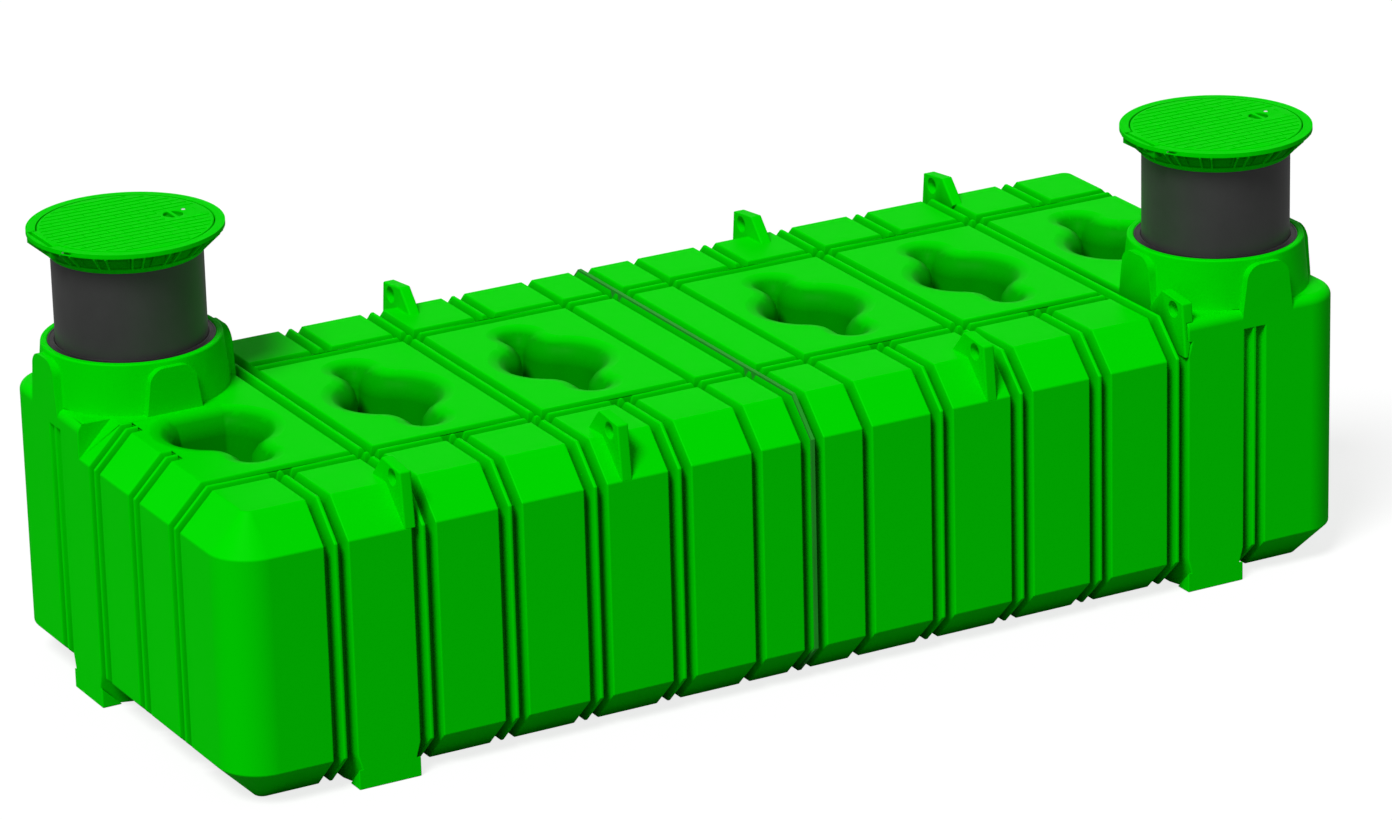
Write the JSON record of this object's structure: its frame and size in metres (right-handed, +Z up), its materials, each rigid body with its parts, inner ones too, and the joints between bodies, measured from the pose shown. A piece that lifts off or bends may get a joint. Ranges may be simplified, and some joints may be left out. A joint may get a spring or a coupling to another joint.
{
  "type": "underground water tank",
  "caption": "Flat ribbed underground water tank of two joined mouldings, with deck-to-floor columns, lifting lugs, corner shafts and hinged round lids.",
  "frame": {"origin": "centre of the tank's footprint, on the plane that its floor and feet rest on", "axes": "+X along the tank to its right end, +Y to its back, +Z up"},
  "size_m": [5.256, 2.158, 1.911],
  "materials": {
    "moulding_green": "smooth moulded polyethylene",
    "lid_green": "moulded polyethylene with a fine grid",
    "riser_black": "smooth extruded pipe",
    "gasket_black": "soft rubber",
    "seam_grey": "satin sealing strip",
    "hinge_steel": "plain turned steel"
  },
  "bodies": {
    "tank": {"left_deck": "moulding_green", "left_floor": "moulding_green", "left_front_wall": "moulding_green", "left_back_wall": "moulding_green", "left_end_wall": "moulding_green", "left_front_corner": "moulding_green", "left_back_corner": "moulding_green", "left_column_1": "moulding_green", "left_column_2": "moulding_green", "left_column_3": "moulding_green", "left_neck": "moulding_green", "left_gasket": "gasket_black", "left_riser_pipe": "riser_black", "left_lid_frame": "lid_green", "left_hinge_pin": "hinge_steel", "left_outer_front_lug": "moulding_green", "left_outer_back_lug": "moulding_green", "left_inner_front_lug": "moulding_green", "left_inner_back_lug": "moulding_green", "right_deck": "moulding_green", "right_floor": "moulding_green", "right_front_wall": "moulding_green", "right_back_wall": "moulding_green", "right_end_wall": "moulding_green", "right_front_corner": "moulding_green", "right_back_corner": "moulding_green", "right_column_1": "moulding_green", "right_column_2": "moulding_green", "right_column_3": "moulding_green", "right_neck": "moulding_green", "right_gasket": "gasket_black", "right_riser_pipe": "riser_black", "right_lid_frame": "lid_green", "right_hinge_pin": "hinge_steel", "right_outer_front_lug": "moulding_green", "right_outer_back_lug": "moulding_green", "right_inner_front_lug": "moulding_green", "right_inner_back_lug": "moulding_green", "seam_band": "seam_grey"},
    "left_lid": {"left_lid": "lid_green"},
    "right_lid": {"right_lid": "lid_green"}
  },
  "joints": [
    {"name": "left_lid_hinge", "type": "hinge", "parent": "tank", "child": "left_lid", "pos_m": [-2.58, 0.67, 1.902], "axis": [0, -1, 0], "range_deg": [0, 100]},
    {"name": "right_lid_hinge", "type": "hinge", "parent": "tank", "child": "right_lid", "pos_m": [1.86, -0.67, 1.902], "axis": [0, -1, 0], "range_deg": [0, 100]}
  ]
}
